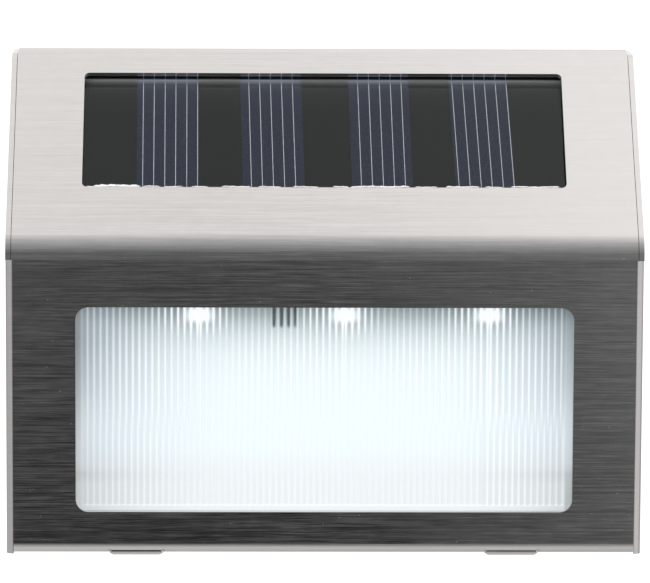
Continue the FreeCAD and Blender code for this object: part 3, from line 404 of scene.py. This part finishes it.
def clear_pane(name, tint=(0.97, 0.985, 0.98), ior=1.5, smear=0.05):
    """Clear plate seen through: it lets the view pass and mirrors at grazing angles.

    Face on, the few per cent that it would mirror are left to what lies under it.
    """
    material = bpy.data.materials.new(name)
    material.use_nodes = True
    tree = material.node_tree
    tree.nodes.remove(tree.nodes["Principled BSDF"])
    output = tree.nodes["Material Output"]
    through = tree.nodes.new("ShaderNodeBsdfTransparent")
    through.inputs[0].default_value = (*tint, 1)
    gloss = tree.nodes.new("ShaderNodeBsdfGlossy")
    wipe = noise(tree, object_place(tree, (120, 160, 160)), detail=4)
    tree.links.new(stretch(tree, wipe, 0.3, 0.7, smear * 0.8, smear * 1.5), gloss.inputs["Roughness"])
    fresnel = tree.nodes.new("ShaderNodeFresnel")
    fresnel.inputs[0].default_value = ior
    facing = tree.nodes.new("ShaderNodeNewGeometry").outputs["Backfacing"]
    grazing = stretch(tree, fresnel.outputs[0], 0.06, 1.0)
    amount = calc(tree, "MULTIPLY", grazing, calc(tree, "SUBTRACT", 1.0, facing))
    mixed = tree.nodes.new("ShaderNodeMixShader")
    tree.links.new(amount, mixed.inputs[0])
    tree.links.new(through.outputs[0], mixed.inputs[1])
    tree.links.new(gloss.outputs[0], mixed.inputs[2])
    tree.links.new(mixed.outputs[0], output.inputs["Surface"])
    return material


def painted_head_reflection(tree):
    """Painted reflection on the panel, 0 to 1: faint over its upper half, strong in a line under its head."""
    # Painted reflection: brighter towards the window's head, as light mirrored from the edge above.
    height = add_node(tree, "SeparateXYZ", object_place(tree)).node.outputs["Z"]
    rise = stretch(tree, height, 0.0310, 0.0402)
    broad = calc(tree, "MULTIPLY", calc(tree, "POWER", rise, 3.0), 0.024)
    line = calc(tree, "MULTIPLY", calc(tree, "POWER", rise, 26.0), stretch(tree, height, 0.0404, 0.0401))
    return calc(tree, "ADD", line, broad)


def black_laminate():
    """Black backing of the solar module under its clear film: glossy, with a faint cloudiness."""
    material, tree, shader = new_finish("black_laminate", Roughness=0.1, Specular_IOR_Level=0.45)
    cloud = noise(tree, object_place(tree, (50, 50, 50)), detail=3)
    colour = mix_colour(tree, cloud, (0.0012, 0.0012, 0.0014), (0.0032, 0.0032, 0.0036))
    # Painted reflection: the black backing is lightened towards pale grey in a band under the window's head.
    colour = mix_colour(tree, painted_head_reflection(tree), colour, (0.60, 0.60, 0.61))
    link(tree, shader, Base_Color=colour)
    return material


def cell_blue():
    """Dark blue silicon with a faint crystal mottling."""
    material, tree, shader = new_finish("cell_silicon", Roughness=0.1, Specular_IOR_Level=0.45)
    crystal = tree.nodes.new("ShaderNodeTexVoronoi")
    tree.links.new(object_place(tree, (500, 900, 900)), crystal.inputs["Vector"])
    colour = mix_colour(tree, stretch(tree, crystal.outputs["Distance"], 0.0, 0.7), (0.006, 0.0075, 0.020),
                        (0.0095, 0.011, 0.026))
    # Painted reflection: the cells are lightened towards pale blue-grey in a band under the window's head.
    link(tree, shader, Base_Color=mix_colour(tree, painted_head_reflection(tree), colour, (0.58, 0.60, 0.70)))
    return material


def silver_print():
    """Printed silver lines: pale grey paste, slightly uneven."""
    material, tree, shader = new_finish("silver_print", Roughness=0.1, Specular_IOR_Level=0.5)
    uneven = noise(tree, object_place(tree, (900, 900, 300)), detail=3)
    link(tree, shader, Base_Color=mix_colour(tree, uneven, (0.30, 0.31, 0.34), (0.50, 0.51, 0.54)))
    return material


def sealant_with_painted_glint():
    """Bead of sealant whose pale colour is a painted glint, with a wet gloss."""
    material, tree, shader = new_finish("sealant_painted_glint", Roughness=0.3, IOR=1.45)
    lumps = noise(tree, object_place(tree, (1500, 1500, 1500)), detail=3)
    # The pale base colour is a painted glint on the bead of sealant.
    link(tree, shader, Base_Color=mix_colour(tree, lumps, (0.62, 0.62, 0.62), (0.85, 0.85, 0.84)),
         Normal=bump(tree, lumps, 0.5, 0.0001))
    return material


def zinc(name="zinc_plate", base=(0.62, 0.62, 0.60)):
    """Zinc-plated steel: soft crystal patches and a dull shine."""
    material, tree, shader = new_finish(name, Metallic=1.0)
    patches = tree.nodes.new("ShaderNodeTexVoronoi")
    tree.links.new(object_place(tree, (160, 160, 160)), patches.inputs["Vector"])
    cloud = noise(tree, object_place(tree, (220, 220, 220)), detail=4)
    tone = calc(tree, "MULTIPLY", stretch(tree, patches.outputs["Distance"], 0.0, 0.8), cloud)
    darker = tuple(c * 0.82 for c in base)
    link(tree, shader, Base_Color=mix_colour(tree, tone, base, darker),
         Roughness=stretch(tree, cloud, 0.3, 0.7, 0.28, 0.42),
         Normal=bump(tree, cloud, 0.1, 0.00005))
    return material


def glowing_lens():
    """Ribbed acrylic lit from behind: the glow attribute is the light that each point sends out."""
    material, tree, shader = new_finish("lit_acrylic", Base_Color=(0.16, 0.17, 0.175, 1), Roughness=0.28,
                                        IOR=1.49, Emission_Strength=1.0)
    glow = tree.nodes.new("ShaderNodeAttribute")
    glow.attribute_name = "glow"
    link(tree, shader, Emission_Color=glow.outputs["Color"])
    return material


def plain_finish(name, dark, light, scale=400.0, roughness=0.5, metallic=0.0, emission=0.0):
    """A quiet finish for an inner part: two near shades in a fine mottle."""
    material, tree, shader = new_finish(name, Metallic=metallic)
    mottle = noise(tree, object_place(tree, (scale,) * 3), detail=4)
    colour = mix_colour(tree, mottle, dark, light)
    link(tree, shader, Base_Color=colour,
         Roughness=stretch(tree, mottle, 0.3, 0.7, roughness - 0.08, roughness + 0.08))
    if emission:
        tree.links.new(colour, shader.inputs["Emission Color"])
        shader.inputs["Emission Strength"].default_value = emission
    return material


# ---- solar module ------------------------------------------------------------------------------

# The slope's outside leaves the front at the knee and ends at the cover's top edge.
KNEE_LEVEL = 11.5
FACE_DEPTH = 45.0
TOP_DEPTH = 13.0
SLOPE_RUN = FACE_DEPTH - TOP_DEPTH
SLOPE_RISE = 35.1
SLOPE = math.hypot(SLOPE_RUN, SLOPE_RISE)
UP_SLOPE = np.array([0, SLOPE_RUN, SLOPE_RISE]) / SLOPE
OUT_OF_SLOPE = np.array([0, -SLOPE_RISE, SLOPE_RUN]) / SLOPE


def on_slope(across, up, out):
    """Points of the slope's own frame: across it, up it from the knee, and out of its face."""
    across, up, out = np.broadcast_arrays(across, up, out)
    foot = np.array([0, -FACE_DEPTH, KNEE_LEVEL])
    sideways = across[..., None] * np.array([1, 0, 0])
    return foot + sideways + up[..., None] * UP_SLOPE + out[..., None] * OUT_OF_SLOPE


SLAB_FACES = np.array([[3, 2, 1, 0], [4, 5, 6, 7], [0, 1, 5, 4],
                       [1, 2, 6, 5], [2, 3, 7, 6], [3, 0, 4, 7]])


def leaned_slabs(spans, low, high, floor, top):
    """Thin slabs on the slope, each the prism over a quad whose top edge is shifted sideways.

    Each span gives the left and right edge at the slab's foot and the shift of its head.
    """
    points, faces = [], []
    for number, (left, right, lean) in enumerate(spans):
        x = np.array([left, right, right + lean, left + lean])
        u = np.array([low, low, high, high])
        points.append(on_slope(np.tile(x, 2), np.tile(u, 2), np.repeat([floor, top], 4)))
        faces.extend((SLAB_FACES + 8 * number).tolist())
    return np.concatenate(points), faces


CELL_FOOT = 12.6
CELL_HEAD = 42.0
# Back and face, as depths under the slope's outside.
CELL_DEPTHS = (-2.24, -2.03)
LINE_DEPTHS = (-2.05, -2.015)
LINE_HALF_WIDTH = 0.055
# Each strip: its left edge at mid height, its width, its lean over its length, then its printed lines.
STRIPS = (
    (-35.70, 11.75, -0.16, (1.15, 3.24, 5.34, 7.40, 9.51, 11.58)),
    (-15.72, 11.75, -0.62, (1.64, 3.73, 5.82, 7.94, 10.03)),
    (5.05, 11.6, -0.48, (1.81, 3.92, 6.00, 8.11, 10.18)),
    (24.62, 11.3, -0.95, (0.62, 2.71, 4.83, 6.92, 9.02, 11.09)),
)


def solar_module():
    """Glass, leaned cell strips with printed lines, black backing, and the sealant at the foot."""
    body = "lamp"
    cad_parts["solar_glass"].data.materials.clear()
    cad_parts["solar_glass"].data.materials.append(clear_pane("solar_glass_clear"))
    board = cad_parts["solar_backboard"]
    board.data.materials.clear()
    board.data.materials.append(black_laminate())

    spans = [(left - lean / 2, left + width - lean / 2, lean) for left, width, lean, _ in STRIPS]
    points, faces = leaned_slabs(spans, CELL_FOOT, CELL_HEAD, *CELL_DEPTHS)
    put_in("cell_strips", mesh_of("cell_strips", points, faces, smooth=False), body,
           ["solar_cells"], [cell_blue()])
    half = LINE_HALF_WIDTH
    lines = [(left + at - half - lean / 2, left + at + half - lean / 2, lean)
             for left, _, lean, places in STRIPS for at in places]
    points, faces = leaned_slabs(lines, CELL_FOOT, CELL_HEAD, *LINE_DEPTHS)
    put_in("printed_lines", mesh_of("printed_lines", points, faces, smooth=False), body,
           [], [silver_print()])
    seal_foot()


# Left end, right end and half thickness of each run of sealant that shows.
SEALANT = (
    (-45.2, -43.6, 0.08), (-43.8, -34.9, 0.25), (-34.4, -31.2, 0.11), (-30.4, -26.8, 0.08),
    (-25.2, -22.0, 0.09), (-19.5, -14.0, 0.11), (-12.6, -8.2, 0.08), (-6.0, -1.2, 0.09),
    (1.6, 4.6, 0.11), (5.0, 16.2, 0.15), (17.2, 21.4, 0.09), (23.0, 29.4, 0.14),
    (30.4, 33.8, 0.09), (35.4, 44.6, 0.14),
)


def seal_foot():
    """Uneven sealant along the window's foot.

    Each run is a round section carried along X; its radius follows a half-ellipse at both ends,
    times a sum of sines that makes it lumpy, and its middle wanders a little up and down.
    """
    points, faces = [], []
    start, sides = 0, 10
    for left, right, thick in SEALANT:
        rows = max(12, int((right - left) * 5))
        t = np.linspace(0, 1, rows)
        x = left + (right - left) * t
        taper = np.clip(np.minimum(t, 1 - t) * (right - left) / 0.5, 0.02, 1) ** 0.5
        lumps = 1 + 0.12 * np.sin(3.1 * x + left) + 0.10 * np.sin(7.7 * x) + 0.08 * np.sin(17.3 * x)
        radius = thick * taper * lumps
        middle = 14.42 + 0.05 * np.sin(0.9 * x) + 0.03 * np.sin(4.3 * x)
        turn = np.linspace(0, 2 * math.pi, sides, endpoint=False)
        up = middle[:, None] + 1.15 * radius[:, None] * np.cos(turn)
        out = -0.95 + 0.8 * radius[:, None] * (1 + np.sin(turn)) * 0.9
        points.append(on_slope(np.broadcast_to(x[:, None], up.shape), up, out).reshape(-1, 3))
        faces.extend(grid_faces(rows, sides, ring=True, start=start).tolist())
        faces.append(list(range(start, start + sides)))
        faces.append(list(range(start + rows * sides - 1, start + (rows - 1) * sides - 1, -1)))
        start += rows * sides
    mesh = mesh_of("sealant", np.concatenate(points), faces)
    face_outward(mesh)
    put_in("sealant", mesh, "lamp", [], [sealant_with_painted_glint()])


# ---- lens --------------------------------------------------------------------------------------

LENS_FRONT = node_box("ribbed_lens")[0][1]
WINDOW_LOW, WINDOW_HIGH = np.array([-46.9, -39.15]), np.array([46.9, -0.15])
FLUTES = 77
FLUTE_PITCH = 1.185
FLUTE_LEFT = -45.75
FLUTE_FOOT = -38.15
LED_GLOWS = (-23.7, 3.8, 31.0)
LED_STEP = 27.35
# The driver's legs show through the ribs: place across, and how dark.
LEG_SHADOWS = ((-9.57, 0.60), (-8.15, 0.58), (-6.83, 0.46), (-5.60, 0.34))


def ease(value, low, high):
    """0 at low, 1 at high, smooth between."""
    t = np.clip((value - low) / (high - low), 0, 1)
    return t * t * (3 - 2 * t)


def rib_line(x, drop):
    """1 on the bright line of each rib and 0 between.

    Near the head each rib shows a squeezed picture of the LED on its left, so the line's place in
    the rib slides with the distance to that LED. Lower down it fades over to the line of the lit
    floor, which stands at one place in every rib.
    """
    def line(phase):
        within = (phase - 0.5) % 1.0 - 0.5
        return np.exp(-(within / 0.17) ** 2)

    rib = (x + 45.93) / 1.1891 - 0.085
    slide = 0.12 - 0.0185 * ((x - LED_GLOWS[0]) % LED_STEP)
    still = 0.04 + 0.42 * (x > 30)
    lower = ease(drop, 19, 26)
    return line(rib + slide) * (1 - lower) + line(rib + still) * lower


def lens_light(x, drop, ribbed):
    """Display brightness 0..1 of the lit lens at a place across it and this far under its head.

    An even field darkens to the head as a stretched exponential and to the sides as a power of
    the distance. Each rib adds a bright line, strongest near the sides and just under the head.
    Each LED adds a flat-topped core that runs down in streaks, and bright lines beside it. The
    driver's legs take away four upright shadows.
    """
    field = 0.95 - 0.32 * np.exp(-(drop / 4.9) ** 1.35) - 0.012 * ease(drop, 26, 34)
    deep = 1 - 0.45 * ease(drop, 10, 24)
    field = field - 0.183 * np.clip(-x / 46, 0, 1.1) ** 3.8 * 1.25 * ease(drop, -1, 8) * deep
    field = field - 0.16 * np.clip(x / 46, 0, 1.1) ** 5.5 * (0.6 + 0.7 * ease(drop, 0, 8)) * deep
    beyond = np.clip(np.abs(x) / 46, 0, 1) ** 4
    field = field - 0.045 * beyond * np.exp(-((drop - 32.2) / 1.1) ** 2)

    line = rib_line(x, drop) * ribbed
    near = sum(np.exp(-((x - place - 3.5) / 4.0) ** 2) for place in LED_GLOWS)
    beside = 0.20 * ease(np.abs(x + 1), 20, 36) * (1 - 0.25 * ease(drop, 8, 16) - 0.35 * ease(drop, 14, 24))
    fading = np.exp(-(np.clip(drop - 5, 0, None) / 8) ** 1.5) * 0.88 + 0.12 + 0.2 * ease(drop, 28, 36)
    between = 0.12 * (1 - 0.7 * np.clip(near, 0, 1) * ease(drop, 3, 7)) * fading
    strength = np.maximum(beside, between)
    field = field + strength * (line - 0.3 * ribbed)
    for place in LED_GLOWS:
        side = x - place
        reach = np.where(side < 0, 7.6, 5.2)
        lit = np.exp(-(np.abs(side) / reach) ** 3 - (np.clip(drop - 1.0, 0, None) / 3.0) ** 2)
        field = field + 0.50 * lit * (line - 0.12)
        core = np.exp(-(np.abs(side) / 2.5) ** 2.6 - (np.abs(drop - 1.5) / 1.4) ** 3)
        streak = np.exp(-(np.abs(side) / 2.6) ** 3 - (np.clip(drop - 1.5, 0, None) / 2.6) ** 2.5)
        field = field + 0.50 * core + 0.30 * streak * line
    for place, depth in LEG_SHADOWS:
        field = field - depth * np.exp(-((x - place) / 0.27) ** 2) * (1 - ease(drop, 3.3, 4.4))
    return field


def to_light(display):
    """Light that shows as this display brightness."""
    display = np.clip(display, 0, 1)
    return np.where(display < 0.04045, display / 12.92, ((display + 0.055) / 1.055) ** 2.4)


def ribbed_lens():
    """The lens as two layers: a fluted sheet that glows, and a clear face in front of it.

    The fluted sheet is a grid over x and z. Its depth is a row of shallow arcs, one to a flute,
    that run out to a flat margin at the foot and both sides.
    """
    steps = 10
    head, foot = WINDOW_HIGH[1], WINDOW_LOW[1]
    fluted = FLUTE_LEFT + np.arange(FLUTES * steps + 1) * (FLUTE_PITCH / steps)
    x = np.concatenate([np.linspace(WINDOW_LOW[0], FLUTE_LEFT, 5)[:-1], fluted,
                        np.linspace(fluted[-1], WINDOW_HIGH[0], 6)[1:]])
    z = np.concatenate([np.linspace(head, -12, 54), np.linspace(-12, FLUTE_FOOT + 0.3, 28)[1:],
                        np.linspace(FLUTE_FOOT + 0.3, FLUTE_FOOT - 0.1, 4)[1:],
                        np.linspace(FLUTE_FOOT - 0.1, foot, 4)[1:]])
    across, level = np.meshgrid(x, z)
    ribbed = ((across > FLUTE_LEFT) & (across < fluted[-1])) * ease(level, FLUTE_FOOT, FLUTE_FOOT + 0.15)
    within = ((across - FLUTE_LEFT) / FLUTE_PITCH) % 1.0
    relief = 0.35 * np.sqrt(np.clip(1 - (2 * within - 1) ** 2, 0, 1)) * ribbed
    points = np.stack([across, LENS_FRONT + 1.3 + relief, level], axis=-1)
    mesh = mesh_of("lit_flutes", points, grid_faces(len(z), len(x))[:, ::-1])

    drop = head - level
    bright = lens_light(across, drop, ribbed)
    left_margin = ease(FLUTE_LEFT - across, 0, 0.3)
    right_margin = ease(across - fluted[-1], 0, 0.3)
    bright = bright - left_margin * (0.05 - 0.04 * ease(drop, 18, 30))
    bright = bright - right_margin * (0.02 + 0.08 * ease(drop, 30, 36))
    bright = bright + 0.012 * ease(FLUTE_FOOT + 0.2 - level, 0, 0.2)
    bright = bright + 0.03 * rib_line(across, drop) * np.exp(-((level - FLUTE_FOOT) / 0.15) ** 2)
    white = ease(drop, 25, 33)[..., None]
    aside = ease(np.abs(across), 18, 44)[..., None]
    tint = np.array([0.0, 0.036, 0.044]) * (1 - aside) + np.array([0.0, 0.034, 0.050]) * aside
    tint = (tint * (1 - white) + np.array([0.0, 0.012, 0.018]) * white) * (1.15 - 0.3 * bright[..., None])
    tint = tint * (1 - 0.8 * left_margin)[..., None]
    ambient = 0.13
    colours = to_light(np.clip(bright[..., None] + tint, 0, 1.0)) - ambient
    glow = np.concatenate([np.clip(colours, 0, 4), np.ones((*bright.shape, 1))], axis=-1).reshape(-1, 4)
    layer = mesh.attributes.new("glow", "FLOAT_COLOR", "POINT")
    layer.data.foreach_set("color", glow.astype(np.float32).ravel())
    put_in("lit_flutes", mesh, "lamp", ["ribbed_lens"], [glowing_lens()])
    lens_face()


def rounded_rectangle(half_x, half_z, middle_x, middle_z, radius, steps=8):
    """Points round a rectangle with quarter-circle corners, anticlockwise in x and z."""
    turn = np.linspace(0, math.pi / 2, steps)
    x, z = [], []
    for quarter, (sx, sz) in enumerate(((1, 1), (-1, 1), (-1, -1), (1, -1))):
        a = turn + quarter * math.pi / 2
        x.append(middle_x + sx * (half_x - radius) + radius * np.cos(a))
        z.append(middle_z + sz * (half_z - radius) + radius * np.sin(a))
    return np.concatenate(x), np.concatenate(z)


def lens_face():
    """Clear plate in the window: a closed prism with rounded corners.

    A rounded rectangle is carried forward in steps, and the last steps are drawn in by a quarter
    circle, which eases the front edge.
    """
    half = (WINDOW_HIGH - WINDOW_LOW) / 2 - 0.15
    middle = (WINDOW_HIGH + WINDOW_LOW) / 2
    front, back = LENS_FRONT, LENS_FRONT + 1.25
    rounding = 0.3
    rings = [(back, 0.0)]
    for turn in np.linspace(0, math.pi / 2, 5):
        rings.append((front + rounding * (1 - math.sin(turn)), rounding * (1 - math.cos(turn))))
    points = []
    for y, inset in rings:
        x, z = rounded_rectangle(half[0] - inset, half[1] - inset, middle[0], middle[1], 2.25 - inset)
        points.append(np.stack([x, np.full_like(x, y), z], axis=-1))
    points = np.array(points)
    sides = points.shape[1]
    faces = grid_faces(len(rings), sides, ring=True).tolist()
    faces.append(list(range(sides)))
    faces.append(list(range((len(rings) - 1) * sides, len(rings) * sides)))
    mesh = mesh_of("lens_face", points, faces, smooth=False)
    face_outward(mesh)
    acrylic = clear_pane("lens_acrylic_clear", (0.99, 0.995, 1.0), 1.49, 0.06)
    put_in("lens_face", mesh, "lamp", [], [acrylic])


# ---- steel cover and the rear ------------------------------------------------------------------

def recessed_screws(material):
    """Pan-head screws: a domed head with a cross sunk in it, turned round Y, and a plain shank.

    The head's height over its plane is a grid of radius and turn: a shallow dome less a cross
    whose depth falls away with the distance from its two bars.
    """
    low, high = node_box("panel_screws")
    head, shank, rise, plane = 2.6, 1.3, 1.4, -7.0
    places = [(x, z) for x in (low[0] + head, high[0] - head) for z in (low[2] + head, high[2] - head)]
    rings, sides = 22, 48
    r = np.linspace(0.04, 1, rings)[:, None] * head
    a = np.linspace(0, 2 * math.pi, sides, endpoint=False)[None, :]
    points, faces, start = [], [], 0
    for number, (cx, cz) in enumerate(places):
        spin = 0.35 + 0.9 * number
        u, v = r * np.cos(a), r * np.sin(a)
        p, q = r * np.cos(a + spin), r * np.sin(a + spin)
        dome = rise * np.sqrt(np.clip(1 - (r / (head * 1.28)) ** 2, 0, 1))
        dome = dome * np.clip((head - r) / 0.12, 0, 1) ** 0.5 + 0.05
        bars = np.minimum(np.hypot(np.clip(np.abs(p) - 1.25, 0, None), np.clip(np.abs(q) - 0.22, 0, None)),
                          np.hypot(np.clip(np.abs(q) - 1.25, 0, None), np.clip(np.abs(p) - 0.22, 0, None)))
        cross = 0.75 * np.clip(1 - bars / 0.22, 0, 1)
        y = plane + np.minimum(dome, rise) - cross
        face = np.stack([cx + u, y, cz + v], axis=-1).reshape(-1, 3)
        tail = []
        for radius, depth in ((head, plane), (shank, plane), (shank, low[1])):
            ring = [cx + radius * np.cos(a[0]), np.full(sides, depth), cz + radius * np.sin(a[0])]
            tail.append(np.stack(ring, axis=-1))
        points += [face, *tail]
        faces.extend(grid_faces(rings + 3, sides, ring=True, start=start).tolist())
        faces.append(list(range(start, start + sides)))
        end = start + (rings + 2) * sides
        faces.append(list(range(end, end + sides)))
        start += (rings + 3) * sides
    mesh = mesh_of("cross_head_screws", np.concatenate(points), faces)
    face_outward(mesh)
    put_in("cross_head_screws", mesh, "lamp", ["panel_screws"], [material])


def clothe_nodes():
    """Steel cover and moulded parts as eased copies; hidden parts keep their CAD nodes."""
    black = moulded_plastic("black_moulding", (0.018, 0.018, 0.019), (0.030, 0.030, 0.031), 0.48)
    door_black = moulded_plastic("door_moulding", (0.020, 0.020, 0.021), (0.034, 0.034, 0.035), 0.42)
    cover = dress("steel_cover", "folded_cover", "lamp", brushed_steel(), 0.12)
    round_flap_fronts(cover, width=0.6, fine=0.07)
    dress("rear_panel", "rear_moulding", "lamp", black, 0.2)
    dress("inner_housing", "inner_tub", "lamp", moulded_plastic(
        "tub_moulding", (0.020, 0.020, 0.021), (0.032, 0.032, 0.033), 0.5), 0.12)
    dress("battery_door", "sliding_door", "door", door_black, 0.15)
    dress("switch_knob", "switch_slider", "knob", moulded_plastic(
        "slider_nylon", (0.70, 0.70, 0.70), (0.76, 0.76, 0.76), 0.35), 0.15)
    dress("wall_plate", "wall_hanger", "mount_plate", zinc(), 0.12)
    recessed_screws(zinc("screw_zinc", (0.70, 0.70, 0.68)))

    finishes = {
        "reflector": plain_finish("white_chamber", (0.80, 0.80, 0.79), (0.86, 0.86, 0.85), 300, 0.5),
        "led_board": plain_finish("board_mask", (0.80, 0.81, 0.79), (0.87, 0.88, 0.86), 700, 0.35),
        "leds": plain_finish("led_epoxy", (0.88, 0.94, 1.0), (0.95, 0.98, 1.0), 500, 0.15, emission=1.0),
        "driver_ic": plain_finish("chip_resin", (0.015, 0.015, 0.016), (0.03, 0.03, 0.03), 1500, 0.55),
        "inductor": plain_finish("choke_ferrite", (0.03, 0.03, 0.032), (0.06, 0.06, 0.06), 1200, 0.6),
        "battery": plain_finish("cell_sleeve", (0.10, 0.22, 0.12), (0.13, 0.27, 0.15), 200, 0.3),
        "positive_contact": plain_finish("contact_nickel", (0.62, 0.60, 0.56), (0.72, 0.70, 0.66),
                                         500, 0.28, 1.0),
        "negative_contact": plain_finish("spring_nickel", (0.60, 0.58, 0.54), (0.70, 0.68, 0.64),
                                         500, 0.28, 1.0),
        "switch_body": plain_finish("switch_case", (0.05, 0.05, 0.052), (0.09, 0.09, 0.09), 900, 0.45),
        "solar_leads": plain_finish("red_wire", (0.35, 0.02, 0.02), (0.45, 0.03, 0.03), 900, 0.4),
        "battery_leads": plain_finish("black_wire", (0.02, 0.02, 0.02), (0.04, 0.04, 0.04), 900, 0.4),
    }
    for name, material in finishes.items():
        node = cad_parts[name]
        node.data.materials.clear()
        node.data.materials.append(material)


def main():
    view = bpy.context.scene.view_settings
    view.view_transform = "Standard"
    set_camera()
    light_studio()
    lay_floor()
    clothe_nodes()
    solar_module()
    ribbed_lens()


main()
